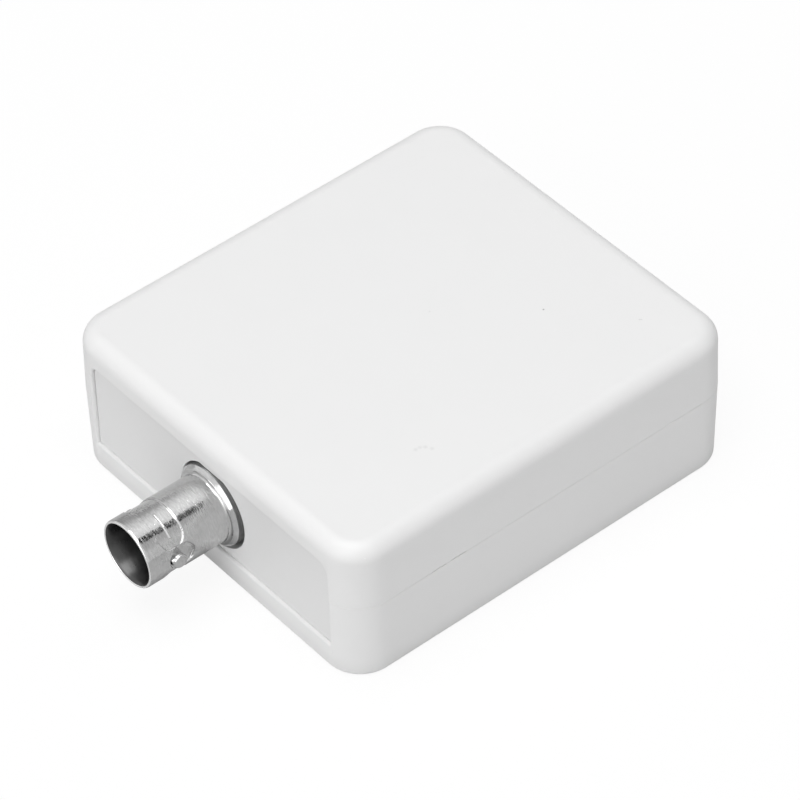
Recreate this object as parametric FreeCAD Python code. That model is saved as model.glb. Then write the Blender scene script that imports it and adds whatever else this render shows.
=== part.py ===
import FreeCAD, Part

import math
import os

# Small desktop box that turns a computer's VGA picture into a video signal on a BNC jack.
# Millimetres. Origin at the centre of the underside, +Z up, -Y towards the BNC end, +X to its right.

# Moulded case
case_width = 57.5
case_depth = 64.0
case_height = 22.2
corner_radius = 5.4
top_fillet = 2.4
bottom_fillet = 0.7
parting_height = 12.4
draft_angle = 1.1
side_wall = 1.8
end_wall = 1.55
top_wall = 1.8
floor_wall = 1.6
seam_chamfer = 0.1

# Lap joint between the two shells, and the slot that a screwdriver opens it by
lap_height = 1.2
lap_thickness = 0.8
lap_clearance = 0.1
pry_slot_length = 5.6
pry_slot_from_end = 15.6
pry_slot_height = 0.2
pry_slot_depth = 0.9
pry_web_width = 0.6
pry_web_from_middle = 0.1

# Windows in the case's ends and the loose panels that stand in them
window_width = 47.5
window_sill = 4.15
window_head = 18.1
window_corner = 1.5
window_edge_chamfer = 0.4
panel_recess = 0.64
panel_flange = 1.4
panel_overlap = 1.45
panel_gap = 0.08
panel_slack = 0.15
slot_slack = 0.3
rib_thickness = 1.3
rib_width = 3.2

# Screws, bosses and the circuit board that sits on them
screw_inset_x = 5.45
screw_inset_front = 11.5
screw_inset_back = 18.2
boss_radius = 3.0
shoulder_radius = 4.2
screw_radius = 1.3
screw_length = 14.0
screw_head_radius = 2.5
screw_head_height = 1.9
screw_head_bevel = 0.5
screw_tip_radius = 0.3
cross_length = 2.8
cross_width = 0.7
cross_depth = 1.1
screw_hole_radius = 1.5
head_recess_radius = 2.8
head_recess_depth = 3.0
thread_clearance = 0.02
board_height = 3.0
board_thickness = 1.6
board_clearance = 0.2
board_margin = 0.5

# BNC jack, a die-cast right-angle one that is soldered to the board
bnc_height = 10.7
bnc_barrel_radius = 4.83
bnc_reach = 12.75
bnc_bore_radius = 4.1
bnc_mouth_radius = 4.5
bnc_lead_in = 0.5
bnc_rim_radius = 4.65
bnc_rim_length = 0.35
bnc_bore_depth = 8.4
bnc_land_length = 2.5
bnc_pocket_length = 3.7
bnc_pocket_depth = 0.17
bnc_pocket_angle = 22.5
bnc_pocket_round = 1.2
bnc_rib_distance = 4.25
bnc_rib_width = 0.28
bnc_rib_start = 38.0
bnc_rib_end = 86.0
bnc_lug_distance = 4.4
bnc_lug_radius = 1.0
bnc_lug_span = 10.9
bnc_lug_bevel = 0.2
bnc_lug_root = 0.1
bnc_spot_distance = 5.15
bnc_spot_radius = 1.95
bnc_spot_depth = 0.5
bnc_spot_lean = 0.3
bnc_flange_radius = 5.85
bnc_flange_bevel = 0.25
bnc_flange_proud = 0.05
bnc_neck_bevel = 0.3
bnc_hole_radius = 6.29
bnc_hole_offset_x = 0.35
bnc_hole_offset_z = 0.15
bnc_hole_flat = 5.8
bnc_block_width = 14.0
bnc_block_depth = 12.0
bnc_block_top = 6.2
bnc_block_gap = 0.15
bnc_block_round = 1.0
bnc_peg_radius = 1.0
bnc_peg_root = 1.0
bnc_peg_span = 5.08
insulator_radius = 2.42
insulator_setback = 5.0
insulator_bevel = 0.25
contact_radius = 1.05
contact_setback = 0.3
contact_hole_radius = 0.68
contact_hole_depth = 5.0
contact_tail_radius = 0.45
contact_tail_gap = 1.2
contact_bend_radius = 0.8

# VGA socket at the other end
vga_height = 10.8
vga_jack_gap = 1.1
vga_shell_width = 16.3
vga_shell_height = 7.9
vga_shell_slant = 10.0
vga_shell_corner = 2.4
vga_shell_wall = 0.4
vga_shell_reach = 5.9
vga_hole_gap = 0.3
vga_flange_width = 30.8
vga_flange_height = 12.0
vga_flange_thickness = 0.8
vga_flange_corner = 1.0
vga_screw_span = 24.99
vga_pitch = 2.29
vga_row_pitch = 1.98
vga_contact_radius = 0.5
vga_body_depth = 9.5
vga_body_gap = 0.7
vga_face_setback = 0.4
vga_tail_width = 0.5
vga_tail_gap = 1.0
vga_tail_row_step = 1.6
vga_contact_setback = 0.6
vga_leg_setback = 3.4
vga_leg_cover = 1.0
post_across_flats = 4.75
post_length = 5.0
post_stud_radius = 1.35
post_thread_radius = 1.13
post_thread_depth = 4.0
post_stud_length = 4.8
post_bevel = 0.6
post_hole_gap = 0.3
nut_width = 5.0
nut_depth = 3.2
nut_corner = 0.5

# Power jack beside the VGA socket
jack_window_gap = 4.85
jack_width = 9.0
jack_height = 11.0
jack_depth = 14.0
jack_bore_radius = 3.15
jack_bore_depth = 9.5
jack_bore_height = 6.5
jack_lead_in = 0.4
jack_back_wall = 2.0
jack_pin_radius = 1.0
jack_pin_setback = 0.8
jack_pin_bevel = 0.5
jack_tab_width = 2.4
jack_tab_thickness = 0.8
jack_tab_inset = 1.2
jack_edge_round = 0.6

# Parts on the board
chip_thickness = 1.4
chip_standoff = 0.1
chip_bevel = 0.15
lead_margin = 0.5
lead_width = 0.3
lead_thickness = 0.15
lead_reach = 1.0
tail_below_board = 1.2
capacitor_radius = 3.15
capacitor_height = 7.5
capacitor_rim = 0.4
capacitor_base = 0.8
capacitor_base_margin = 0.15
capacitor_base_bevel = 1.2
crystal_length = 11.0
crystal_width = 4.6
crystal_height = 3.5
crystal_flat = 0.1
inductor_size = 7.0
inductor_height = 3.4
inductor_bevel = 1.0
resistor_length = 2.0
resistor_width = 1.25
resistor_height = 0.6
resistor_pitch = 3.0

# Clearance of a push fit, how far a cutting tool runs past what it cuts, how near counts as one place
seat_gap = 0.02
run_out = 1.0
same_place = 1e-4

# Places on the board: chips as (x, y, length, width, lead pitch, sides that carry leads)
chip_places = {
    "scaler_chip": (1.5, 3.0, 12.0, 12.0, 0.8, "xy"),
    "encoder_chip": (1.0, -8.8, 8.0, 6.0, 0.8, "y"),
    "memory_chip": (-14.5, 1.0, 6.0, 9.0, 1.27, "x"),
    "regulator_chip": (13.2, 10.0, 6.4, 3.6, 2.3, "y"),
}
capacitor_places = {"input_capacitor": (17.2, 3.2), "output_capacitor": (17.2, -13.6)}
crystal_place = (-13.0, -10.5)
inductor_place = (18.6, -4.0)

# Two rows of resistors as (x of the first, x of the last, y)
resistor_rows = [(-8.2, 3.8, -14.1), (-5.0, 7.0, 12.4)]

# Sizes that follow from those above
slope = math.tan(math.radians(draft_angle))
board_top = board_height + board_thickness
panel_back = case_depth / 2 - end_wall - panel_flange
panel_face = case_depth / 2 - panel_recess
ceiling = case_height - top_wall
tail_bottom = board_height - tail_below_board
screw_span_x = case_width - 2 * screw_inset_x
bnc_mouth_y = -case_depth / 2 - bnc_reach
bnc_block_front = -(panel_back - bnc_block_gap)
bnc_block_back = bnc_block_front + bnc_block_depth
bnc_tail_y = bnc_block_back + contact_tail_gap
bnc_lug_y = bnc_mouth_y + bnc_lug_distance
bnc_spot_y = bnc_mouth_y + bnc_spot_distance
vga_flange_y = panel_back - vga_flange_thickness
vga_nose_y = panel_back + vga_shell_reach
post_corner_radius = post_across_flats / 2 / math.cos(math.radians(30))
jack_x = window_width / 2 - jack_window_gap - jack_width / 2
jack_back = panel_face - jack_depth
jack_axis_height = board_top + jack_bore_height
vga_x = jack_x - jack_width / 2 - vga_jack_gap - vga_flange_width / 2


def point(x, y, z):
    return FreeCAD.Vector(x, y, z)


def block(x_low, x_high, y_low, y_high, z_low, z_high):
    corner = point(x_low, y_low, z_low)
    return Part.makeBox(x_high - x_low, y_high - y_low, z_high - z_low, corner)


def rod(radius, base, direction, length):
    return Part.makeCylinder(radius, length, base, direction)


def turned(profile, x, z):
    # Solid of revolution about a line along Y; the profile's points are (y, radius).
    loop = [point(x + radius, y, z) for y, radius in profile]
    face = Part.Face(Part.makePolygon(loop + loop[:1]))
    return face.revolve(point(x, 0, z), point(0, 1, 0), 360)


def rounded_loop(half_x, half_y, radius, z):
    # Rectangle with round corners at height z, made of four lines and four arcs.
    edges = []
    centres = [(1, 1), (-1, 1), (-1, -1), (1, -1)]
    ends = []
    for index, (side_x, side_y) in enumerate(centres):
        centre = point(side_x * (half_x - radius), side_y * (half_y - radius), z)
        start = math.radians(90 * index)
        rim = [centre + point(radius * math.cos(start + turn), radius * math.sin(start + turn), 0)
               for turn in (0, math.pi / 4, math.pi / 2)]
        ends.append(rim)
    for index, rim in enumerate(ends):
        following = ends[(index + 1) % 4]
        edges.append(Part.Arc(*rim).toShape())
        edges.append(Part.LineSegment(rim[2], following[0]).toShape())
    return Part.Wire(edges)


def case_inset(z):
    # How far the drafted walls lean in from their widest line at the parting height.
    return abs(z - parting_height) * slope


def case_loft(levels, wall_x=0.0, wall_y=0.0):
    # Drafted body through (z, extra inset) levels, set in from the outside by the walls.
    loops = []
    for z, extra in levels:
        inset = case_inset(z) + extra
        radius = corner_radius - inset - max(wall_x, wall_y)
        half_x = case_width / 2 - inset - wall_x
        half_y = case_depth / 2 - inset - wall_y
        loops.append(rounded_loop(half_x, half_y, radius, z))
    return Part.makeLoft(loops, True, True)


def edges_at_height(shape, z):
    return [edge for edge in shape.Edges
            if all(abs(vertex.Z - z) < same_place for vertex in edge.Vertexes)]


def edges_along(shape, axis):
    # Straight edges of a block or prism that run along the axis named "x", "y" or "z".
    return [edge for edge in shape.Edges
            if abs(getattr(edge.tangentAt(edge.FirstParameter), axis)) > 0.999]


def end_edges(shape, axis, place):
    # Edges whose middle lies at a place along the axis.
    return [edge for edge in shape.Edges if abs(getattr(edge.CenterOfMass, axis) - place) < same_place]


def outer_lower():
    levels = [(0, 0), (parting_height - seam_chamfer, 0), (parting_height, seam_chamfer)]
    body = case_loft(levels)
    return body.makeFillet(bottom_fillet, edges_at_height(body, 0))


def outer_upper():
    levels = [(parting_height, seam_chamfer), (parting_height + seam_chamfer, 0), (case_height, 0)]
    body = case_loft(levels)
    return body.makeFillet(top_fillet, edges_at_height(body, case_height))


def screw_places():
    # The back pair stands in front of the sockets' housings.
    rows = (-case_depth / 2 + screw_inset_front, case_depth / 2 - screw_inset_back)
    return [(side * screw_span_x / 2, y) for side in (-1, 1) for y in rows]


def round_headed(shape):
    # Block with its two upper edges along Y rounded as the windows' upper corners are.
    upper = [edge for edge in edges_along(shape, "y") if edge.CenterOfMass.z > shape.CenterOfMass.z]
    return shape.makeFillet(window_corner, upper)


def window_outline(y, grow):
    # The windows' outline at one depth, grown all round: square lower and rounded upper corners.
    half = window_width / 2 + grow
    radius = window_corner + grow
    low = window_sill - grow
    high = window_head + grow
    bulge = radius * (1 - math.cos(math.pi / 4))
    foot_left, foot_right = point(-half, y, low), point(half, y, low)
    right_arc = [point(half, y, high - radius), point(half - bulge, y, high - bulge),
                 point(half - radius, y, high)]
    left_arc = [point(-half + radius, y, high), point(-half + bulge, y, high - bulge),
                point(-half, y, high - radius)]
    sides = [Part.LineSegment(foot_left, foot_right), Part.LineSegment(foot_right, right_arc[0]),
             Part.Arc(*right_arc), Part.LineSegment(right_arc[2], left_arc[0]),
             Part.Arc(*left_arc), Part.LineSegment(left_arc[2], foot_left)]
    return Part.Wire([side.toShape() for side in sides])


def window_cut(side):
    # Opening in one end wall, opened out at 45 degrees where it meets the outside.
    depths = [(case_depth / 2 - end_wall - panel_gap, 0), (case_depth / 2 - window_edge_chamfer, 0),
              (case_depth / 2 + run_out, window_edge_chamfer + run_out)]
    return Part.makeLoft([window_outline(side * y, grow) for y, grow in depths], True, True)


def panel_slot(side):
    # Flat pocket that the panel's flange slides into, at one end of the case.
    half = window_width / 2 + panel_overlap + slot_slack
    outer = case_depth / 2 - end_wall
    inner = panel_back - panel_gap
    low, high = sorted((side * inner, side * outer))
    return block(-half, half, low, high, floor_wall, ceiling)


def panel_ribs(z_low, z_high):
    # Four upright ribs that keep the panels from falling inwards.
    ribs = []
    outer_x = case_width / 2 - side_wall / 2
    inner_x = window_width / 2 + panel_overlap - rib_width
    for side in (-1, 1):
        outer_y = panel_back - panel_gap
        low, high = sorted((side * outer_y, side * (outer_y - rib_thickness)))
        ribs.append(block(inner_x, outer_x, low, high, z_low, z_high))
        ribs.append(block(-outer_x, -inner_x, low, high, z_low, z_high))
    return ribs


def lap_ring(z_low, z_high, inner, outer):
    # Upright strips along both long sides, between two distances from the outside.
    full = case_loft([(z_low, 0), (z_high, 0)], outer, end_wall)
    core = case_loft([(z_low - run_out, 0), (z_high + run_out, 0)], inner, end_wall)
    strip_half = panel_back - panel_gap - rib_thickness - lap_clearance
    zone = block(-case_width, case_width, -strip_half, strip_half, z_low, z_high)
    return full.cut(core).common(zone)


def bottom_case():
    # Lower shell: floor, drafted walls, bosses with shoulders for the board, lap tongue.
    body = outer_lower()
    levels = [(floor_wall, 0), (parting_height, 0), (parting_height + run_out, 0)]
    body = body.cut(case_loft(levels, side_wall, end_wall))
    additions = panel_ribs(floor_wall / 2, parting_height)
    for x, y in screw_places():
        additions.append(rod(shoulder_radius, point(x, y, floor_wall / 2), point(0, 0, 1),
                             board_height - floor_wall / 2))
        additions.append(rod(boss_radius, point(x, y, floor_wall / 2), point(0, 0, 1),
                             parting_height - floor_wall / 2))
    tongue_base = parting_height - 2 * lap_height
    tongue = lap_ring(tongue_base, parting_height + lap_height, side_wall + lap_thickness / 2,
                      side_wall - lap_thickness / 2)
    body = body.fuse(additions + [tongue])
    cuts = [window_cut(-1), window_cut(1), panel_slot(-1), panel_slot(1)]
    for x, y in screw_places():
        under = point(x, y, -run_out)
        cuts.append(rod(head_recess_radius, under, point(0, 0, 1), head_recess_depth + run_out))
        cuts.append(rod(screw_hole_radius, under, point(0, 0, 1), parting_height + 2 * run_out))
    return body.cut(cuts).removeSplitter()


def pry_slots():
    # Short slot in the cover's lower edge on the plain long side, with a narrow web left in it.
    y_middle = -case_depth / 2 + pry_slot_from_end
    x_outer = case_width / 2 + run_out
    x_inner = case_width / 2 - pry_slot_depth
    web_start = y_middle - pry_web_from_middle - pry_web_width / 2
    reaches = [(y_middle - pry_slot_length / 2, web_start),
               (web_start + pry_web_width, y_middle + pry_slot_length / 2)]
    top = parting_height + pry_slot_height
    return [block(x_inner, x_outer, y_low, y_high, parting_height - run_out, top)
            for y_low, y_high in reaches]


def top_cover():
    # Upper shell: drafted walls, rounded top, bosses that the screws bite into, lap rebate.
    body = outer_upper()
    levels = [(parting_height - run_out, 0), (parting_height, 0), (ceiling, 0)]
    body = body.cut(case_loft(levels, side_wall, end_wall))
    additions = panel_ribs(parting_height, ceiling + top_wall / 2)
    for x, y in screw_places():
        additions.append(rod(boss_radius, point(x, y, parting_height), point(0, 0, 1),
                             ceiling + top_wall / 2 - parting_height))
    body = body.fuse(additions)
    rebate = lap_ring(parting_height - run_out, parting_height + lap_height + lap_clearance,
                      side_wall + lap_thickness, side_wall - lap_thickness / 2 - lap_clearance)
    cuts = [rebate, window_cut(-1), window_cut(1), panel_slot(-1), panel_slot(1)] + pry_slots()
    pilot = screw_radius + thread_clearance
    pilot_top = head_recess_depth + screw_length + run_out
    for x, y in screw_places():
        start = point(x, y, parting_height - run_out)
        cuts.append(rod(pilot, start, point(0, 0, 1), pilot_top - start.z))
    return body.cut(cuts).removeSplitter()


def panel_blank(side):
    # End panel: a raised face that fills the window and a wider flange that the slots hold.
    half = window_width / 2 + panel_overlap
    seat = case_depth / 2 - end_wall
    low, high = sorted((side * panel_back, side * seat))
    flange = block(-half, half, low, high, floor_wall, ceiling - panel_gap)
    left_gap = panel_slack if side < 0 else panel_gap
    low, high = sorted((side * seat, side * panel_face))
    face = block(-window_width / 2 + left_gap, window_width / 2 - panel_gap, low, high,
                 window_sill + panel_gap, window_head - panel_gap)
    return flange.fuse(round_headed(face)).removeSplitter()


def bnc_end_panel():
    # The jack's hole is flattened on top and a little to one side of the jack.
    hole_z = bnc_height + bnc_hole_offset_z
    start = point(bnc_hole_offset_x, -case_depth / 2, hole_z)
    hole = rod(bnc_hole_radius, start, point(0, 1, 0), case_depth / 2 - panel_back + end_wall)
    flat = block(-window_width, window_width, -case_depth, 0, hole_z - case_height, hole_z + bnc_hole_flat)
    return panel_blank(-1).cut(hole.common(flat))


def vga_outline(grow):
    # D-shaped prism profile as an X-Z wire at Y zero, grown outwards all round.
    half_top = vga_shell_width / 2 + grow
    half_z = vga_shell_height / 2 + grow
    lean = vga_shell_height * math.tan(math.radians(vga_shell_slant))
    half_bottom = half_top - lean
    corners = [(-half_top, half_z), (half_top, half_z), (half_bottom, -half_z), (-half_bottom, -half_z)]
    points = [point(vga_x + x, 0, vga_height + z) for x, z in corners]
    return Part.makePolygon(points + points[:1])


def vga_prism(grow, y_low, y_high):
    face = Part.Face(vga_outline(grow))
    prism = face.extrude(point(0, y_high - y_low, 0))
    prism.translate(point(0, y_low, 0))
    return prism.makeFillet(vga_shell_corner + grow, edges_along(prism, "y"))


def post_places():
    return [vga_x + side * vga_screw_span / 2 for side in (-1, 1)]


def vga_end_panel():
    panel = panel_blank(1)
    low = panel_back - run_out
    high = case_depth / 2 + run_out
    cuts = [vga_prism(vga_hole_gap, low, high)]
    half = jack_width / 2 + panel_gap
    cuts.append(block(jack_x - half, jack_x + half, low, high, floor_wall,
                      board_top + jack_height + panel_gap))
    hole_radius = post_corner_radius + post_hole_gap
    for x in post_places():
        cuts.append(rod(hole_radius, point(x, low, vga_height), point(0, 1, 0), high - low))
    return panel.cut(cuts)


def circuit_board():
    half_x = case_width / 2 - side_wall - case_inset(floor_wall) - board_margin
    half_y = panel_back - panel_gap - board_margin
    board = block(-half_x, half_x, -half_y, half_y, board_height, board_top)
    cuts = []
    for side_x in (-1, 1):
        rib_edge = window_width / 2 + panel_overlap - rib_width - board_margin
        for side_y in (-1, 1):
            rib_back = panel_back - panel_gap - rib_thickness - board_margin
            x_low, x_high = sorted((side_x * rib_edge, side_x * case_width))
            y_low, y_high = sorted((side_y * rib_back, side_y * case_depth))
            cuts.append(block(x_low, x_high, y_low, y_high, 0, case_height))
    for x, y in screw_places():
        cuts.append(rod(boss_radius + board_clearance, point(x, y, 0), point(0, 0, 1), case_height))
    holes = [(x, y, bnc_peg_radius) for x, y in bnc_peg_places()]
    holes.append((0, bnc_tail_y, contact_tail_radius))
    for x, y, radius in holes:
        cuts.append(rod(radius + board_clearance / 2, point(x, y, 0), point(0, 0, 1), case_height))
    half_slot = vga_tail_width / 2 + board_clearance / 2
    for x, y in vga_tail_places():
        cuts.append(block(x - half_slot, x + half_slot, y - half_slot, y + half_slot, 0, case_height))
    half_x = vga_flange_thickness / 2 + board_clearance
    half_y = vga_flange_thickness + board_clearance
    for x, y in vga_leg_places():
        cuts.append(block(x - half_x, x + half_x, y - half_y, y + half_y, 0, case_height))
    for x, y in jack_tab_places():
        half_slot = jack_tab_width / 2 + board_clearance
        cuts.append(block(x - half_slot, x + half_slot, y - jack_tab_thickness, y + jack_tab_thickness,
                          0, case_height))
    return board.cut(cuts)


def bnc_peg_places():
    return [(side * bnc_peg_span, (bnc_block_front + bnc_block_back) / 2) for side in (-1, 1)]


def bnc_pocket(upwards):
    # Shallow arc-shaped recess round the barrel, its ends rounded off near the lugs.
    y_low = bnc_mouth_y + bnc_land_length
    y_high = y_low + bnc_pocket_length
    outer = bnc_barrel_radius + run_out
    inner = bnc_barrel_radius - bnc_pocket_depth
    ring = turned([(y_low, inner), (y_low, outer), (y_high, outer), (y_high, inner)], 0, bnc_height)
    half_x = bnc_barrel_radius * math.cos(math.radians(bnc_pocket_angle))
    z_low = bnc_height if upwards else bnc_height - 2 * outer
    slab = block(-half_x, half_x, y_low, y_high, z_low, z_low + 2 * outer)
    return ring.common(slab.makeFillet(bnc_pocket_round, edges_along(slab, "z")))


def bnc_rib():
    # Thin raised line along the upper recess.
    middle = bnc_mouth_y + bnc_rib_distance
    inner = bnc_barrel_radius - 2 * bnc_pocket_depth
    low = middle - bnc_rib_width / 2
    high = middle + bnc_rib_width / 2
    outer = bnc_barrel_radius
    ring = turned([(low, inner), (low, outer), (high, outer), (high, inner)], 0, bnc_height)
    reach = 2 * outer
    start = math.radians(bnc_rib_start)
    end = math.radians(bnc_rib_end)
    wedge = [point(0, low, bnc_height),
             point(reach * math.cos(start), low, bnc_height + reach * math.sin(start)),
             point(reach * math.cos(end), low, bnc_height + reach * math.sin(end))]
    sector = Part.Face(Part.makePolygon(wedge + wedge[:1])).extrude(point(0, bnc_rib_width, 0))
    return ring.common(sector)


def bnc_body():
    # Die-cast shell of the jack: bayonet barrel, flange, square block on the board, two pegs.
    flange_front = -case_depth / 2 - bnc_flange_proud
    seat_radius = insulator_radius + seat_gap
    profile = [
        (bnc_mouth_y, bnc_mouth_radius),
        (bnc_mouth_y, bnc_rim_radius),
        (bnc_mouth_y + bnc_rim_length, bnc_barrel_radius),
        (flange_front - bnc_neck_bevel, bnc_barrel_radius),
        (flange_front, bnc_barrel_radius + bnc_neck_bevel),
        (flange_front, bnc_flange_radius - bnc_flange_bevel),
        (flange_front + bnc_flange_bevel, bnc_flange_radius),
        (bnc_block_front, bnc_flange_radius),
        (bnc_block_front, seat_radius),
        (bnc_mouth_y + bnc_bore_depth, seat_radius),
        (bnc_mouth_y + bnc_bore_depth, bnc_bore_radius),
        (bnc_mouth_y + bnc_lead_in, bnc_bore_radius),
    ]
    cuts = [bnc_pocket(True), bnc_pocket(False)]
    lugs = []
    for side in (-1, 1):
        outwards = point(side, 0, 0)
        floor = point(side * (bnc_barrel_radius - bnc_spot_depth), bnc_spot_y, bnc_height)
        cuts.append(Part.makeCone(bnc_spot_radius - bnc_spot_lean, bnc_spot_radius + bnc_spot_lean,
                                  2 * bnc_spot_depth, floor, outwards))
        root = bnc_bore_radius + bnc_lug_root
        lug = rod(bnc_lug_radius, point(side * root, bnc_lug_y, bnc_height), outwards,
                  bnc_lug_span / 2 - root)
        lugs.append(lug.makeChamfer(bnc_lug_bevel, end_edges(lug, "x", side * bnc_lug_span / 2)))
    barrel = turned(profile, 0, bnc_height).cut(cuts)
    half = bnc_block_width / 2
    base = block(-half, half, bnc_block_front, bnc_block_back, board_top, bnc_height + bnc_block_top)
    shoulders = [edge for edge in edges_along(base, "y") if edge.CenterOfMass.z > bnc_height]
    base = base.makeFillet(bnc_block_round, shoulders)
    bore_start = point(0, bnc_block_front - run_out, bnc_height)
    base = base.cut(rod(seat_radius, bore_start, point(0, 1, 0), bnc_block_depth + 2 * run_out))
    peg_length = board_top + bnc_peg_root - tail_bottom
    pegs = [rod(bnc_peg_radius, point(x, y, tail_bottom), point(0, 0, 1), peg_length)
            for x, y in bnc_peg_places()]
    return barrel.fuse(lugs + pegs + [base, bnc_rib()]).removeSplitter()


def bnc_insulator():
    front = bnc_mouth_y + insulator_setback
    inner = contact_radius + seat_gap
    profile = [
        (front, inner),
        (front, insulator_radius - insulator_bevel),
        (front + insulator_bevel, insulator_radius),
        (bnc_block_back, insulator_radius),
        (bnc_block_back, inner),
    ]
    return turned(profile, 0, bnc_height)


def bnc_contact():
    # Centre contact: a socket in front, a thin tail bent down into the board behind.
    front = bnc_mouth_y + insulator_setback + contact_setback
    along = point(0, 1, 0)
    socket = rod(contact_radius, point(0, front, bnc_height), along, bnc_block_back - front)
    hole_start = point(0, front - run_out, bnc_height)
    socket = socket.cut(rod(contact_hole_radius, hole_start, along, contact_hole_depth + run_out))
    bend_y = bnc_tail_y - contact_bend_radius
    bend_z = bnc_height - contact_bend_radius
    tail = rod(contact_tail_radius, point(0, bnc_block_back, bnc_height), along, bend_y - bnc_block_back)
    section = Part.Face(Part.Wire(Part.makeCircle(contact_tail_radius, point(0, bend_y, bnc_height), along)))
    bend = section.revolve(point(0, bend_y, bend_z), point(-1, 0, 0), 90)
    drop = rod(contact_tail_radius, point(0, bnc_tail_y, tail_bottom), point(0, 0, 1), bend_z - tail_bottom)
    return socket.fuse([tail, bend, drop]).removeSplitter()


def vga_leg_places():
    return [(x, vga_flange_y - vga_leg_setback) for x in post_places()]


def vga_shell():
    # Drawn steel shell, its flange behind the panel, two clinched nuts and two legs into the board.
    half_x = vga_flange_width / 2
    half_z = vga_flange_height / 2
    flange = block(vga_x - half_x, vga_x + half_x, vga_flange_y, panel_back,
                   vga_height - half_z, vga_height + half_z)
    flange = flange.makeFillet(vga_flange_corner, edges_along(flange, "y"))
    shell = flange.fuse(vga_prism(0, vga_flange_y, vga_nose_y))
    cuts = [vga_prism(-vga_shell_wall, vga_flange_y - run_out, vga_nose_y + run_out)]
    nuts = []
    half = nut_width / 2
    for x in post_places():
        nut = block(x - half, x + half, vga_flange_y - nut_depth, vga_flange_y,
                    vga_height - half, vga_height + half)
        nuts.append(nut.makeFillet(nut_corner, edges_along(nut, "y")))
        start = point(x, vga_flange_y - nut_depth - run_out, vga_height)
        cuts.append(rod(post_stud_radius + seat_gap, start, point(0, 1, 0),
                        nut_depth + vga_flange_thickness + 2 * run_out))
    legs = []
    half = vga_flange_thickness / 2
    for x, y in vga_leg_places():
        shoulder = board_top + vga_leg_cover
        legs.append(block(x - half, x + half, y - 2 * half, y + 2 * half, tail_bottom, shoulder))
        legs.append(block(x - half, x + half, y - 2 * half, vga_flange_y + half, shoulder,
                          vga_height - post_stud_radius - vga_leg_cover))
    return shell.fuse(nuts).cut(cuts).fuse(legs).removeSplitter()


def vga_contact_rows():
    # Three rows of five, the middle row half a pitch to one side.
    rows = []
    for row in (-1, 0, 1):
        shift = vga_pitch / 4 if row == 0 else -vga_pitch / 4
        for column in range(-2, 3):
            rows.append((row, vga_x + column * vga_pitch + shift, vga_height + row * vga_row_pitch))
    return rows


def vga_tail_y(row):
    return vga_flange_y - vga_body_depth - vga_tail_gap - (row + 1) * vga_tail_row_step


def vga_tail_places():
    return [(x, vga_tail_y(row)) for row, x, z in vga_contact_rows()]


def vga_insulator():
    # Plastic body: a D-shaped nose inside the shell and a square block on the board between the nuts.
    nose = vga_prism(-vga_shell_wall - seat_gap, vga_flange_y - run_out, vga_nose_y - vga_face_setback)
    half = vga_screw_span / 2 - nut_width / 2 - vga_body_gap
    back = vga_flange_y - vga_body_depth
    body = block(vga_x - half, vga_x + half, back, vga_flange_y,
                 board_top, vga_height + vga_flange_height / 2)
    holes = [rod(vga_contact_radius + seat_gap, point(x, back - run_out, z), point(0, 1, 0), case_depth)
             for row, x, z in vga_contact_rows()]
    return nose.fuse(body).cut(holes).removeSplitter()


def vga_contacts():
    # Fifteen contacts, each a round socket with a square tail bent down into the board.
    front = vga_nose_y - vga_face_setback - vga_contact_setback
    start = vga_flange_y - vga_body_depth
    half = vga_tail_width / 2
    contacts = []
    for row, x, z in vga_contact_rows():
        tail_y = vga_tail_y(row)
        socket = rod(vga_contact_radius, point(x, start, z), point(0, 1, 0), front - start)
        run = block(x - half, x + half, tail_y - half, start, z - half, z + half)
        drop = block(x - half, x + half, tail_y - half, tail_y + half, tail_bottom, z + half)
        contacts.append(socket.fuse(run.fuse(drop).removeSplitter()))
    return Part.makeCompound(contacts)


def jack_post(x):
    # Hexagonal post that stands on the socket's flange, through the panel, and takes the plug's screw.
    end = panel_back + post_length
    corners = []
    for index in range(6):
        turn = math.radians(60 * index)
        corners.append(point(x + post_corner_radius * math.cos(turn), panel_back,
                             vga_height + post_corner_radius * math.sin(turn)))
    post = Part.Face(Part.makePolygon(corners + corners[:1])).extrude(point(0, post_length, 0))
    crown = turned([(panel_back, 0), (panel_back, post_corner_radius),
                    (end - post_bevel, post_corner_radius), (end, post_corner_radius - post_bevel), (end, 0)],
                   x, vga_height)
    along = point(0, 1, 0)
    stud_start = point(x, panel_back - post_stud_length, vga_height)
    stud = rod(post_stud_radius, stud_start, along, post_stud_length)
    thread = rod(post_thread_radius, point(x, end - post_thread_depth, vga_height), along,
                 post_thread_depth + run_out)
    return post.common(crown).fuse(stud).cut(thread).removeSplitter()


def jack_tab_places():
    return [(jack_x, jack_back + jack_tab_inset), (jack_x, (jack_back + panel_face) / 2)]


def jack_housing():
    # Moulded power jack with a round mouth, standing on the board.
    half = jack_width / 2
    along = point(0, 1, 0)
    body = block(jack_x - half, jack_x + half, jack_back, panel_face, board_top, board_top + jack_height)
    upper = [edge for edge in edges_along(body, "y") if edge.CenterOfMass.z > jack_axis_height]
    body = body.makeFillet(jack_edge_round, upper)
    bore = rod(jack_bore_radius, point(jack_x, panel_face - jack_bore_depth, jack_axis_height), along,
               jack_bore_depth + run_out)
    lead_in = Part.makeCone(jack_bore_radius, jack_bore_radius + jack_lead_in, jack_lead_in,
                            point(jack_x, panel_face - jack_lead_in, jack_axis_height), along)
    pin_hole = rod(jack_pin_radius + seat_gap, point(jack_x, jack_back + jack_back_wall, jack_axis_height),
                   along, jack_depth)
    return body.cut([bore, lead_in, pin_hole])


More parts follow.
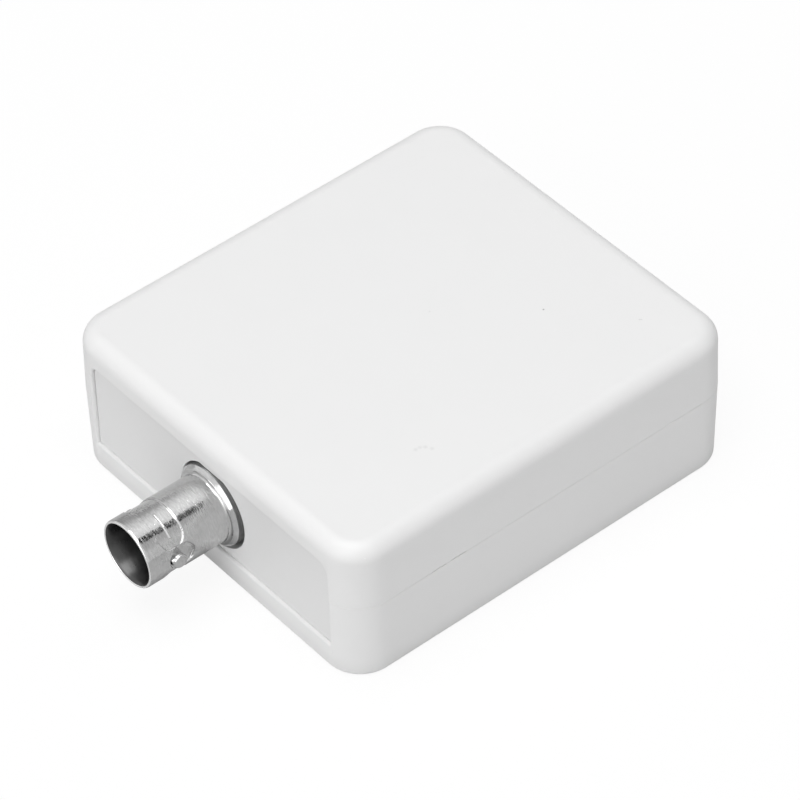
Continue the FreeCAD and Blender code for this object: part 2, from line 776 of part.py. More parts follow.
def jack_pin():
    start = jack_back + jack_back_wall
    end = panel_face - jack_pin_setback
    pin = rod(jack_pin_radius, point(jack_x, start, jack_axis_height), point(0, 1, 0), end - start)
    return pin.makeChamfer(jack_pin_bevel, end_edges(pin, "y", end))


def jack_tabs():
    # Two flat solder tabs under the housing.
    half_x = jack_tab_width / 2
    half_y = jack_tab_thickness / 2
    return Part.makeCompound([block(x - half_x, x + half_x, y - half_y, y + half_y, tail_bottom, board_top)
                              for x, y in jack_tab_places()])


def case_screw(x, y):
    # Pan-headed screw from the underside, its head seated in the recess.
    upwards = point(0, 0, 1)
    seat = head_recess_depth
    head_low = seat - screw_head_height
    head = rod(screw_head_radius, point(x, y, head_low), upwards, screw_head_height)
    head = head.makeChamfer(screw_head_bevel, end_edges(head, "z", head_low))
    shank_length = screw_length - screw_radius
    shank = rod(screw_radius, point(x, y, seat), upwards, shank_length)
    tip_start = point(x, y, seat + shank_length)
    tip = Part.makeCone(screw_radius, screw_tip_radius, screw_radius, tip_start, upwards)
    long_arm = cross_length / 2
    short_arm = cross_width / 2
    cross = [block(x - half_x, x + half_x, y - half_y, y + half_y, head_low - run_out, head_low + cross_depth)
             for half_x, half_y in ((long_arm, short_arm), (short_arm, long_arm))]
    return head.fuse([shank, tip]).cut(cross)


def chip_body(x, y, length, width):
    low = board_top + chip_standoff
    top = low + chip_thickness
    body = block(x - length / 2, x + length / 2, y - width / 2, y + width / 2, low, top)
    return body.makeChamfer(chip_bevel, end_edges(body, "z", top))


def chip_leads(x, y, length, width, pitch, sides):
    # Rows of flat leads that leave the body low down and stand on the board.
    leads = []
    top = board_top + chip_standoff + lead_thickness
    half = lead_width / 2
    for axis, reach, run in (("y", width / 2, length), ("x", length / 2, width)):
        if axis not in sides:
            continue
        count = int((run - 2 * lead_margin) / pitch) + 1
        for side in (-1, 1):
            low, high = sorted((side * reach, side * (reach + lead_reach)))
            for index in range(count):
                along = (index - (count - 1) / 2) * pitch
                if axis == "y":
                    place = (x + along - half, x + along + half, y + low, y + high)
                else:
                    place = (x + low, x + high, y + along - half, y + along + half)
                leads.append(block(*place, board_top, top))
    return leads


def all_chip_leads():
    leads = []
    for x, y, length, width, pitch, sides in chip_places.values():
        leads.extend(chip_leads(x, y, length, width, pitch, sides))
    return Part.makeCompound(leads)


def crystal():
    # Low metal can with rounded ends.
    x, y = crystal_place
    half_x = crystal_length / 2
    half_y = crystal_width / 2
    can = block(x - half_x, x + half_x, y - half_y, y + half_y, board_top, board_top + crystal_height)
    return can.makeFillet((crystal_width - crystal_flat) / 2, edges_along(can, "z"))


def capacitor_can(x, y):
    low = board_top + capacitor_base
    can = rod(capacitor_radius, point(x, y, low), point(0, 0, 1), capacitor_height)
    return can.makeChamfer(capacitor_rim, end_edges(can, "z", low + capacitor_height))


def capacitor_foot(x, y):
    # Square plastic base with two of its corners cut off.
    half = capacitor_radius + capacitor_base_margin
    foot = block(x - half, x + half, y - half, y + half, board_top, board_top + capacitor_base)
    cut = [edge for edge in edges_along(foot, "z") if edge.CenterOfMass.x > x]
    return foot.makeChamfer(capacitor_base_bevel, cut)


def inductor():
    x, y = inductor_place
    half = inductor_size / 2
    body = block(x - half, x + half, y - half, y + half, board_top, board_top + inductor_height)
    return body.makeChamfer(inductor_bevel, edges_along(body, "z"))


def chip_resistors():
    # Small ceramic blocks beside the two larger circuits.
    half_x = resistor_width / 2
    half_y = resistor_length / 2
    blocks = []
    for first, last, y in resistor_rows:
        for column in range(round((last - first) / resistor_pitch) + 1):
            x = first + column * resistor_pitch
            blocks.append(block(x - half_x, x + half_x, y - half_y, y + half_y,
                                board_top, board_top + resistor_height))
    return Part.makeCompound(blocks)


pieces = {
    "bottom_case": bottom_case(),
    "top_cover": top_cover(),
    "bnc_end_panel": bnc_end_panel(),
    "vga_end_panel": vga_end_panel(),
    "circuit_board": circuit_board(),
    "bnc_body": bnc_body(),
    "bnc_insulator": bnc_insulator(),
    "bnc_contact": bnc_contact(),
    "vga_shell": vga_shell(),
    "vga_insulator": vga_insulator(),
    "vga_contacts": vga_contacts(),
    "power_jack_housing": jack_housing(),
    "power_jack_pin": jack_pin(),
    "power_jack_tabs": jack_tabs(),
    "chip_leads": all_chip_leads(),
    "crystal_can": crystal(),
    "power_inductor": inductor(),
    "chip_resistors": chip_resistors(),
}
for name, (x, y, length, width, pitch, sides) in chip_places.items():
    pieces[name] = chip_body(x, y, length, width)
for name, (x, y) in capacitor_places.items():
    pieces[name + "_can"] = capacitor_can(x, y)
    pieces[name + "_foot"] = capacitor_foot(x, y)
for number, x in enumerate(post_places(), 1):
    pieces["vga_post_%d" % number] = jack_post(x)
for number, (x, y) in enumerate(screw_places(), 1):
    pieces["case_screw_%d" % number] = case_screw(x, y)

os.makedirs("parts", exist_ok=True)
for name, shape in pieces.items():
    shape.exportStep("parts/" + name + ".step")
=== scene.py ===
import math

import bmesh
import bpy
from mathutils import Matrix, Vector


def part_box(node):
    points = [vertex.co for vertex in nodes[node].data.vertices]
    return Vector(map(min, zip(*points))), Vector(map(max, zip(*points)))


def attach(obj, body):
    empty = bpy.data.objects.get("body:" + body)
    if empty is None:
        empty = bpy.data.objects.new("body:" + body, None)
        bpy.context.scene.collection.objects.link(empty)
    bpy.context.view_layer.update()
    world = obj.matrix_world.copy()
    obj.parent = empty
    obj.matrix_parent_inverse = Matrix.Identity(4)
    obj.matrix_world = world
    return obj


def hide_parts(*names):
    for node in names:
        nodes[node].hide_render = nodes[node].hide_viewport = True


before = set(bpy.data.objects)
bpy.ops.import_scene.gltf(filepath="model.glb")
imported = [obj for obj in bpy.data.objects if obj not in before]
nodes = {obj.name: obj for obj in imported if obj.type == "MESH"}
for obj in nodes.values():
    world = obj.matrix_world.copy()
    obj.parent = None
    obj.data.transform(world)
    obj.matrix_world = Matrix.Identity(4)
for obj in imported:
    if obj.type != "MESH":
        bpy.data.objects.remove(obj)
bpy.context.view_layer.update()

# Bottom case: a tray moulded in white ABS. Its walls lean in below the parting line by the mould's draft,
# its four bosses carry the board and take the case screws, and both ends have a notch for a loose panel.
mm = 0.001
tray_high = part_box("bottom_case")[1]
cover_low, cover_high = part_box("top_cover")
case_half_x = tray_high.x
case_half_y = tray_high.y
case_height = cover_high.z
parting_height = cover_low.z
draft = math.radians(1.1)
corner_radius = 5.4 * mm
bottom_round = 0.7 * mm
seam_chamfer = 0.05 * mm
side_wall = 1.8 * mm
end_wall = 1.55 * mm
floor_wall = 1.6 * mm
ceiling = case_height - 1.8 * mm
support = 0.06 * mm
corner_steps = 24
run_out = 1.0 * mm


def new_piece(name, shape):
    """Object made from a bmesh, which is used up."""
    bmesh.ops.recalc_face_normals(shape, faces=shape.faces)
    mesh = bpy.data.meshes.new(name)
    shape.to_mesh(mesh)
    shape.free()
    piece = bpy.data.objects.new(name, mesh)
    bpy.context.scene.collection.objects.link(piece)
    return piece


def skin(shape, rings, capped=True):
    """Quads between rings of equal count, closed at both ends or joined last to first."""
    loops = [[shape.verts.new(point) for point in ring] for ring in rings]
    pairs = list(zip(loops, loops[1:]))
    if not capped:
        pairs.append((loops[-1], loops[0]))
    for low, high in pairs:
        for index in range(len(low)):
            following = (index + 1) % len(low)
            shape.faces.new((low[index], low[following], high[following], high[index]))
    if capped:
        shape.faces.new(loops[0])
        shape.faces.new(loops[-1])


def block(x_low, x_high, y_low, y_high, z_low, z_high):
    """Plain box, used to cut or to add to a shell."""
    shape = bmesh.new()
    skin(shape, [[Vector((x, y, z)) for x, y in
                  ((x_low, y_low), (x_high, y_low), (x_high, y_high), (x_low, y_high))]
                 for z in (z_low, z_high)])
    return new_piece("tool", shape)


def upright_rod(x, y, radius, z_low, z_high, steps=48):
    """Round rod along Z, used the same way."""
    shape = bmesh.new()
    turns = [math.tau * step / steps for step in range(steps)]
    skin(shape, [[Vector((x + radius * math.cos(turn), y + radius * math.sin(turn), z)) for turn in turns]
                 for z in (z_low, z_high)])
    return new_piece("tool", shape)


def combine(piece, tools, operation):
    """Adds the tools to the piece or cuts them from it, and removes them."""
    group = bpy.data.collections.new("tools")
    bpy.context.scene.collection.children.link(group)
    for tool in tools:
        bpy.context.scene.collection.objects.unlink(tool)
        group.objects.link(tool)
    modifier = piece.modifiers.new("combine", "BOOLEAN")
    modifier.operation = operation
    modifier.solver = "EXACT"
    modifier.operand_type = "COLLECTION"
    modifier.collection = group
    evaluated = piece.evaluated_get(bpy.context.evaluated_depsgraph_get())
    plain = piece.data
    result = bpy.data.meshes.new_from_object(evaluated)
    piece.modifiers.clear()
    piece.data = result
    result.name = piece.name
    bpy.data.meshes.remove(plain)
    for tool in tools:
        bpy.data.meshes.remove(tool.data)
    bpy.data.collections.remove(group)


def smooth(piece, angle=30):
    """Smooth shading, with edges steeper than the angle kept crisp and flats kept flat."""
    piece.data.shade_smooth()
    piece.data.set_sharp_from_angle(angle=math.radians(angle))
    weighted = piece.modifiers.new("flat faces", "WEIGHTED_NORMAL")
    weighted.keep_sharp = True


def outline(half_x, half_y, radius, z):
    """Rectangle with round corners, with a support point just outside each corner."""
    points = []
    for quarter, (side_x, side_y) in enumerate(((1, 1), (-1, 1), (-1, -1), (1, -1))):
        centre = Vector((side_x * (half_x - radius), side_y * (half_y - radius), z))
        for step in range(corner_steps + 1):
            turn = math.radians(90 * (quarter + step / corner_steps))
            along = Vector((-math.sin(turn), math.cos(turn), 0))
            place = centre + radius * Vector((math.cos(turn), math.sin(turn), 0))
            if step == 0:
                points.append(place - support * along)
            points.append(place)
            if step == corner_steps:
                points.append(place + support * along)
    return points


def draft_inset(z):
    """How far the walls lean in at a height, from their widest line at the parting."""
    return abs(z - parting_height) * math.tan(draft)


def case_ring(inset, z):
    return outline(case_half_x - inset, case_half_y - inset, corner_radius - inset, z)


def rounded_edge(radius, centre_z, direction, steps):
    """Insets and heights of the round between the wall and the flat top or underside."""
    centre_inset = draft_inset(centre_z) + radius / math.cos(draft)
    turns = [draft + (math.pi / 2 - draft) * step / steps for step in range(steps + 1)]
    return [(centre_inset - radius * math.cos(turn), centre_z + direction * radius * math.sin(turn))
            for turn in turns]


def cavity(z_low, z_high):
    """Inside of the case between two heights."""
    radius = corner_radius - side_wall
    rings = []
    for z in (z_low, z_high):
        inset = draft_inset(z)
        rings.append(outline(case_half_x - side_wall - inset, case_half_y - end_wall - inset,
                             radius - inset, z))
    shape = bmesh.new()
    skin(shape, rings)
    return new_piece("tool", shape)


window_half = 47.5 / 2 * mm
window_sill = 4.15 * mm
window_head = 18.1 * mm
window_corner = 1.5 * mm
window_lip = 0.4 * mm
panel_overlap = 1.45 * mm
slot_slack = 0.3 * mm
panel_gap = 0.08 * mm
panel_flange = 1.4 * mm
rib_width = 3.2 * mm
rib_thickness = 1.3 * mm
panel_back = case_half_y - end_wall - panel_flange


def window_outline(grow):
    """Outline of an end window as x and z, square below and round above, grown outwards."""
    half = window_half + grow
    low = window_sill - grow
    high = window_head + grow
    radius = window_corner + grow
    points = [(-half, low), (half, low)]
    for side, first in ((1, 0), (-1, 90)):
        for step in range(9):
            turn = math.radians(first + 90 * step / 8)
            points.append((side * (half - radius) + radius * math.cos(turn),
                           high - radius + radius * math.sin(turn)))
    return points


def window_tool(side):
    """Cuts an end window, with a round lip where it meets the leaning wall."""
    steps = 8
    levels = [(-run_out, window_lip)]
    for step in range(steps + 1):
        turn = math.pi / 2 * step / steps
        levels.append((window_lip * (1 - math.cos(turn)), window_lip * (1 - math.sin(turn))))
    levels.append((end_wall + panel_gap, 0))
    shape = bmesh.new()
    skin(shape, [[Vector((x, side * (case_half_y - draft_inset(z) - depth), z))
                  for x, z in window_outline(grow)]
                 for depth, grow in levels])
    return new_piece("tool", shape)


def slot_tool(side):
    """Pocket behind a window, in which the panel's flange stands."""
    half = window_half + panel_overlap + slot_slack
    low, high = sorted((side * (panel_back - panel_gap), side * (case_half_y - end_wall)))
    return block(-half, half, low, high, floor_wall, ceiling)


def panel_ribs(z_low, z_high):
    """Four upright ribs that hold the panels from behind."""
    outer = case_half_x - side_wall / 2
    inner = window_half + panel_overlap - rib_width
    ribs = []
    for side in (-1, 1):
        rib_face = side * (panel_back - panel_gap)
        low, high = sorted((rib_face, rib_face - side * rib_thickness))
        ribs.append(block(inner, outer, low, high, z_low, z_high))
        ribs.append(block(-outer, -inner, low, high, z_low, z_high))
    return ribs


screw_names = ["case_screw_%d" % number for number in range(1, 5)]
screw_places = []
for name in screw_names:
    screw_low, screw_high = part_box(name)
    screw_places.append((screw_low + screw_high) / 2)
boss_radius = 3.0 * mm
shoulder_radius = 4.2 * mm
shoulder_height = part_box("circuit_board")[0].z
head_recess_radius = 2.8 * mm
head_recess_depth = 3.0 * mm
screw_hole_radius = 1.5 * mm
lap_height = 1.2 * mm
lap_thickness = 0.8 * mm
lap_clearance = 0.1 * mm
lap_half_length = panel_back - panel_gap - rib_thickness - lap_clearance

lower_profile = rounded_edge(bottom_round, bottom_round, -1, 6)
lower_profile.reverse()
lower_profile.insert(0, (lower_profile[0][0] + support, 0))
lower_profile.append((draft_inset(bottom_round) - support * math.tan(draft), bottom_round + support))
lower_profile.append((draft_inset(parting_height - seam_chamfer - support),
                      parting_height - seam_chamfer - support))
lower_profile.append((draft_inset(parting_height - seam_chamfer), parting_height - seam_chamfer))
lower_profile.append((seam_chamfer, parting_height))
shape = bmesh.new()
skin(shape, [case_ring(inset, z) for inset, z in lower_profile])
bottom_case = new_piece("moulded_bottom_case", shape)
combine(bottom_case, [cavity(floor_wall, parting_height + run_out)], "DIFFERENCE")
additions = panel_ribs(floor_wall / 2, parting_height)
for place in screw_places:
    additions.append(upright_rod(place.x, place.y, shoulder_radius, floor_wall / 2, shoulder_height))
    additions.append(upright_rod(place.x, place.y, boss_radius, floor_wall / 2, parting_height))
tongue_outer = case_half_x - side_wall + lap_thickness / 2
for side in (-1, 1):
    low, high = sorted((side * tongue_outer, side * (tongue_outer - lap_thickness)))
    additions.append(block(low, high, -lap_half_length, lap_half_length,
                           parting_height - 2 * lap_height, parting_height + lap_height))
combine(bottom_case, additions, "UNION")
cuts = []
for side in (-1, 1):
    cuts += [window_tool(side), slot_tool(side)]
for place in screw_places:
    cuts.append(upright_rod(place.x, place.y, head_recess_radius, -run_out, head_recess_depth))
    cuts.append(upright_rod(place.x, place.y, screw_hole_radius, -run_out, parting_height + run_out))
combine(bottom_case, cuts, "DIFFERENCE")
smooth(bottom_case)
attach(bottom_case, "root")
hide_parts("bottom_case")


def node_group(name, inputs, outputs):
    """Shader node group with named sockets, and its two end nodes."""
    group = bpy.data.node_groups.new(name, "ShaderNodeTree")
    for label, kind, value in inputs:
        socket = group.interface.new_socket(name=label, in_out="INPUT", socket_type=kind)
        socket.default_value = value
    for label, kind in outputs:
        group.interface.new_socket(name=label, in_out="OUTPUT", socket_type=kind)
    return group, group.nodes.new("NodeGroupInput"), group.nodes.new("NodeGroupOutput")


def add_node(tree, kind, **settings):
    """Node of one kind, with its settings, and its inputs by name under set."""
    node = tree.nodes.new(kind)
    values = settings.pop("set", {})
    for name, value in settings.items():
        setattr(node, name, value)
    for name, value in values.items():
        node.inputs[name].default_value = value
    return node


def calculate(tree, operation, *inputs):
    """Output of a Math node whose inputs are other sockets or plain numbers."""
    node = add_node(tree, "ShaderNodeMath", operation=operation)
    for socket, value in zip(node.inputs, inputs):
        if isinstance(value, bpy.types.NodeSocket):
            tree.links.new(value, socket)
        else:
            socket.default_value = value
    return node.outputs[0]


def multiplied(tree, colour, factor):
    """A colour times a factor, as a socket."""
    mix = add_node(tree, "ShaderNodeMix", data_type="RGBA", blend_type="MULTIPLY", set={0: 1})
    tree.links.new(colour, mix.inputs[6])
    tree.links.new(factor, mix.inputs[7])
    return mix.outputs[2]


def separated(tree, vector):
    """The X, Y and Z of a vector socket, by name."""
    axes = add_node(tree, "ShaderNodeSeparateXYZ")
    tree.links.new(vector, axes.inputs[0])
    return axes.outputs


def moulded_surface_group():
    """Moulded plastic: a broad drift of tone, patches of gloss, and the mould's fine eroded texture."""
    group, start, end = node_group(
        "moulded_surface",
        [("Tone", "NodeSocketColor", (0.8, 0.8, 0.8, 1)), ("Drift", "NodeSocketFloat", 0.02),
         ("Roughness", "NodeSocketFloat", 0.4), ("Texture Size", "NodeSocketFloat", 6000)],
        [("Color", "NodeSocketColor"), ("Roughness", "NodeSocketFloat"), ("Height", "NodeSocketFloat")])
    link = group.links.new
    place = add_node(group, "ShaderNodeTexCoord")
    broad = add_node(group, "ShaderNodeTexNoise", set={"Scale": 90, "Detail": 4, "Roughness": 0.6})
    link(place.outputs["Object"], broad.inputs["Vector"])
    centred = calculate(group, "SUBTRACT", broad.outputs["Fac"], 0.5)
    span = calculate(group, "MULTIPLY_ADD", centred, start.outputs["Drift"], 1)
    link(multiplied(group, start.outputs["Tone"], span), end.inputs["Color"])
    patches = add_node(group, "ShaderNodeTexNoise", set={"Scale": 350, "Detail": 3, "Roughness": 0.55})
    link(place.outputs["Object"], patches.inputs["Vector"])
    patch_spread = 0.12
    lowest = calculate(group, "SUBTRACT", start.outputs["Roughness"], patch_spread / 2)
    link(calculate(group, "MULTIPLY_ADD", patches.outputs["Fac"], patch_spread, lowest),
         end.inputs["Roughness"])
    grain = add_node(group, "ShaderNodeTexNoise", set={"Detail": 2, "Roughness": 0.5})
    link(place.outputs["Object"], grain.inputs["Vector"])
    link(start.outputs["Texture Size"], grain.inputs["Scale"])
    link(grain.outputs["Fac"], end.inputs["Height"])
    return group


moulded_surface = moulded_surface_group()


def new_material(name):
    material = bpy.data.materials.new(name)
    material.use_nodes = True
    return material, material.node_tree, material.node_tree.nodes["Principled BSDF"]


def surfaced(name, group, depth, values):
    """Material with one surface group, in a node called surface, for colour, roughness and relief."""
    material, tree, shader = new_material(name)
    surface = add_node(tree, "ShaderNodeGroup", name="surface", node_tree=group, set=values)
    bump = add_node(tree, "ShaderNodeBump", set={"Strength": 1, "Distance": depth})
    tree.links.new(surface.outputs["Color"], shader.inputs["Base Color"])
    tree.links.new(surface.outputs["Roughness"], shader.inputs["Roughness"])
    tree.links.new(surface.outputs["Height"], bump.inputs["Height"])
    tree.links.new(bump.outputs["Normal"], shader.inputs["Normal"])
    return material


def moulded_plastic(name, tone, roughness, drift=0.02, texture_size=6000, texture_depth=0.003 * mm):
    """Material of a moulded part."""
    return surfaced(name, moulded_surface, texture_depth,
                    {"Tone": (*tone, 1), "Drift": drift, "Roughness": roughness,
                     "Texture Size": texture_size})


def recolour(material, colour):
    """Puts another colour socket on the material's shader."""
    tree = material.node_tree
    tree.links.new(colour, tree.nodes["Principled BSDF"].inputs["Base Color"])


def paint(piece, material):
    """Gives a piece or a CAD node one material."""
    if not piece.material_slots:
        piece.data.materials.append(material)
    for place in piece.material_slots:
        place.material = material


case_white = (0.82, 0.82, 0.82)
case_roughness = 0.42
painted_shade_height = 3.2 * mm
painted_shade_tone = 0.94
tray_plastic = moulded_plastic("white_abs_tray", case_white, case_roughness)
# Painted shade: the tray's colour darkens smoothly towards its underside, for the shade near the floor.
tree = tray_plastic.node_tree
place = add_node(tree, "ShaderNodeTexCoord")
painted_foot_shade = add_node(tree, "ShaderNodeMapRange", interpolation_type="SMOOTHSTEP",
                      set={"From Min": 0, "From Max": painted_shade_height,
                           "To Min": painted_shade_tone, "To Max": 1})
tree.links.new(separated(tree, place.outputs["Object"])["Z"], painted_foot_shade.inputs["Value"])
recolour(tray_plastic, multiplied(tree, tree.nodes["surface"].outputs["Color"], painted_foot_shade.outputs[0]))
paint(bottom_case, tray_plastic)

# Circuit board: glass laminate with a green solder mask over its copper tracks. It lies on the bosses'
# shoulders, and the case screws' bosses pass through its corners.
board_green, tree, shader = new_material("green_board")
place = add_node(tree, "ShaderNodeTexCoord")
tracks = add_node(tree, "ShaderNodeTexBrick", offset=0.37, offset_frequency=3,
                  set={"Scale": 420, "Mortar Size": 0.06, "Mortar Smooth": 0.2, "Bias": -0.2,
                       "Brick Width": 1.7, "Row Height": 0.45,
                       "Color1": (0.012, 0.10, 0.035, 1), "Color2": (0.016, 0.13, 0.045, 1),
                       "Mortar": (0.04, 0.26, 0.10, 1)})
weave = add_node(tree, "ShaderNodeTexNoise", set={"Scale": 900, "Detail": 3})
tree.links.new(place.outputs["Object"], tracks.inputs["Vector"])
tree.links.new(place.outputs["Object"], weave.inputs["Vector"])
tree.links.new(tracks.outputs["Color"], shader.inputs["Base Color"])
bump = add_node(tree, "ShaderNodeBump", set={"Strength": 1, "Distance": 0.02 * mm})
weave_share = 0.2
tree.links.new(calculate(tree, "MULTIPLY_ADD", weave.outputs["Fac"], weave_share, tracks.outputs["Fac"]),
               bump.inputs["Height"])
tree.links.new(bump.outputs["Normal"], shader.inputs["Normal"])
shader.inputs["Roughness"].default_value = 0.28
paint(nodes["circuit_board"], board_green)

# Chips: four packages of transfer-moulded epoxy, matt with a fine sparkle of filler. Their leads come out
# of the sides, and are bent down and soldered to the board.
chip_epoxy = moulded_plastic("black_epoxy", (0.028, 0.028, 0.03), roughness=0.6, drift=0.3,
                             texture_size=4000, texture_depth=0.006 * mm)
for name in ("scaler_chip", "encoder_chip", "memory_chip", "regulator_chip"):
    paint(nodes[name], chip_epoxy)

# Power inductor and capacitor feet: the inductor's coil sits in a block of pressed ferrite, and each
# capacitor's can stands on a black moulded foot. All are soldered flat to the board.
ferrite = moulded_plastic("pressed_ferrite", (0.09, 0.09, 0.095), roughness=0.7, drift=0.4,
                          texture_size=2500, texture_depth=0.01 * mm)
paint(nodes["power_inductor"], ferrite)
for name in ("input_capacitor_foot", "output_capacitor_foot"):
    paint(nodes[name], chip_epoxy)

# Chip resistors: thick film on small blocks of white ceramic, glazed black on top. They are soldered flat
# in two rows.
glaze = moulded_plastic("black_glaze", (0.05, 0.045, 0.04), roughness=0.3, drift=0.3,
                        texture_size=3000, texture_depth=0.004 * mm)
paint(nodes["chip_resistors"], glaze)

# Leads, solder tabs and cans: leads and tabs are stamped from tinned sheet, and the crystal's and the
# capacitors' cans are drawn and plated. All are soldered to the board.
def worked_metal_group():
    """Fine lines that a tool or a die leaves, laid across one axis, with dull and clean patches."""
    group, start, end = node_group(
        "worked_metal",
        [("Tone", "NodeSocketColor", (0.6, 0.6, 0.6, 1)), ("Spread", "NodeSocketFloat", 0.1),
         ("Line Scale", "NodeSocketVector", (200, 6000, 200)), ("Line Tone", "NodeSocketFloat", 0.1),
         ("Roughness", "NodeSocketFloat", 0.25)],
        [("Color", "NodeSocketColor"), ("Roughness", "NodeSocketFloat"), ("Height", "NodeSocketFloat")])
    link = group.links.new
    place = add_node(group, "ShaderNodeTexCoord")
    stretched = add_node(group, "ShaderNodeVectorMath", operation="MULTIPLY")
    link(place.outputs["Object"], stretched.inputs[0])
    link(start.outputs["Line Scale"], stretched.inputs[1])
    lines = add_node(group, "ShaderNodeTexNoise", set={"Scale": 1, "Detail": 2, "Roughness": 0.5})
    link(stretched.outputs[0], lines.inputs["Vector"])
    link(lines.outputs["Fac"], end.inputs["Height"])
    blotches = add_node(group, "ShaderNodeTexNoise", set={"Scale": 420, "Detail": 5, "Roughness": 0.65})
    link(place.outputs["Object"], blotches.inputs["Vector"])
    blotch = calculate(group, "SUBTRACT", blotches.outputs["Fac"], 0.5)
    line = calculate(group, "SUBTRACT", lines.outputs["Fac"], 0.5)
    blotched = calculate(group, "MULTIPLY_ADD", blotch, start.outputs["Spread"], 1)
    lined = calculate(group, "MULTIPLY_ADD", line, start.outputs["Line Tone"], blotched)
    link(multiplied(group, start.outputs["Tone"], lined), end.inputs["Color"])
    blotch_roughness = 0.25
    link(calculate(group, "MULTIPLY_ADD", blotch, blotch_roughness, start.outputs["Roughness"]),
         end.inputs["Roughness"])
    return group


worked_metal = worked_metal_group()


def metal(name, tone, roughness, line_scale=(500, 500, 500), line_depth=0.002 * mm, spread=0.15,
          line_tone=0.1):
    """Material of a plated, drawn or turned metal."""
    material = surfaced(name, worked_metal, line_depth,
                        {"Tone": (*tone, 1), "Roughness": roughness, "Spread": spread,
                         "Line Scale": line_scale, "Line Tone": line_tone})
    material.node_tree.nodes["Principled BSDF"].inputs["Metallic"].default_value = 1
    return material


tinned = metal("tinned_metal", (0.62, 0.62, 0.61), roughness=0.3)
for name in ("chip_leads", "power_jack_tabs"):
    paint(nodes[name], tinned)
drawn_can = metal("drawn_can", (0.66, 0.66, 0.67), roughness=0.22, line_scale=(300, 300, 4000),
                  line_depth=0.001 * mm)
for name in ("crystal_can", "input_capacitor_can", "output_capacitor_can"):
    paint(nodes[name], drawn_can)

# BNC jack: a nickel-plated die casting with a turned barrel, two bayonet lugs, shallow arc-shaped pockets
# above and below, a flange that stands in the panel's hole, and a square foot behind it on the board.
jack_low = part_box("bnc_body")[0]
insulator_low, insulator_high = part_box("bnc_insulator")
board_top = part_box("circuit_board")[1].z
jack_height = (insulator_low.z + insulator_high.z) / 2
mouth = jack_low.y
barrel_radius = 4.83 * mm
bore_radius = 4.1 * mm
mouth_radius = 4.5 * mm
lead_in = 0.5 * mm
rim_radius = 4.65 * mm
rim_length = 0.35 * mm
bore_depth = 8.4 * mm
seat_radius = insulator_high.x + 0.02 * mm
land_length = 2.5 * mm
pocket_end = 6.2 * mm
pocket_bow = 0.1 * mm
pocket_depth = 0.2 * mm
pocket_angle = math.radians(22.5)
pocket_half = barrel_radius * math.cos(pocket_angle)
pocket_corner = 1.2 * mm
pocket_ramp = 0.1 * mm
pocket_line_distance = 4.25 * mm
pocket_line_start = 38
pocket_line_end = 86
pocket_line_width = 0.28 * mm
lug_distance = 4.4 * mm
lug_radius = 1.0 * mm
lug_reach = 5.45 * mm
lug_bevel = 0.2 * mm
lug_foot_growth = 0.25 * mm
spot_distance = 5.15 * mm
spot_radius = 1.95 * mm
spot_depth = 0.5 * mm
flange_front = 12.7 * mm
neck_bevel = 0.3 * mm
flange_radius = 5.85 * mm
flange_bevel = 0.42 * mm
flange_step_radius = 5.38 * mm
flange_step = 0.07 * mm
foot_front = -(panel_back - 0.15 * mm) - mouth
foot_depth = 12.0 * mm
foot_half = 7.0 * mm
foot_top = jack_height + 6.2 * mm
foot_round = 1.0 * mm
barrel_steps = 480
coarse_step = 0.4 * mm
fine_step = 0.06 * mm


def eased(value):
    """Smooth rise from 0 to 1."""
    value = min(max(value, 0), 1)
    return value * value * (3 - 2 * value)


def pocket_cover(turn, along):
    """Share of the pocket's depth that is cut at a place, with softened walls and one raised line."""
    across = abs(barrel_radius * math.cos(turn)) - (pocket_half - pocket_corner)
    front = land_length + pocket_bow * (1 - 2 * abs(math.cos(turn)))
    beyond = abs(along - (front + pocket_end) / 2) - ((pocket_end - front) / 2 - pocket_corner)
    outside = math.hypot(max(across, 0), max(beyond, 0)) + min(max(across, beyond), 0) - pocket_corner
    cover = eased(0.5 - outside / pocket_ramp)
    degrees = math.degrees(turn) % 360
    if pocket_line_start < degrees < pocket_line_end:
        beside = abs(along - pocket_line_distance) - pocket_line_width / 2
        side = eased(0.5 - beside / (0.7 * pocket_ramp))
        ends = eased((degrees - pocket_line_start) / 2) * eased((pocket_line_end - degrees) / 2)
        cover *= 1 - side * ends
    return cover


def barrel_surface(turn, along):
    """Radius of the barrel outside, with its pockets and the round recess about each lug."""
    radius = barrel_radius - pocket_depth * pocket_cover(turn, along)
    sideways = abs(math.cos(turn))
    if sideways > 0.8:
        height = barrel_radius * math.sin(turn)
        distance = math.hypot(height, along - spot_distance)
        floor = (barrel_radius - spot_depth) / sideways
        if floor < radius:
            radius += (floor - radius) * eased(0.5 - (distance - spot_radius) / (1.6 * pocket_ramp))
    return radius


def barrel_ring(along, radius_at):
    """Closed ring at a distance from the mouth, with its radius given as a function of the turn."""
    turns = [math.tau * step / barrel_steps for step in range(barrel_steps)]
    radii = [radius_at(turn) for turn in turns]
    return [Vector((radius * math.cos(turn), mouth + along, jack_height + radius * math.sin(turn)))
            for turn, radius in zip(turns, radii)]


def round_ring(along, radius):
    return barrel_ring(along, lambda turn: radius)


def quarter(steps):
    """Sine and cosine pairs through a quarter turn, for the small rounds of the turned profile."""
    return [(math.sin(math.pi / 2 * step / steps), math.cos(math.pi / 2 * step / steps))
            for step in range(steps + 1)]


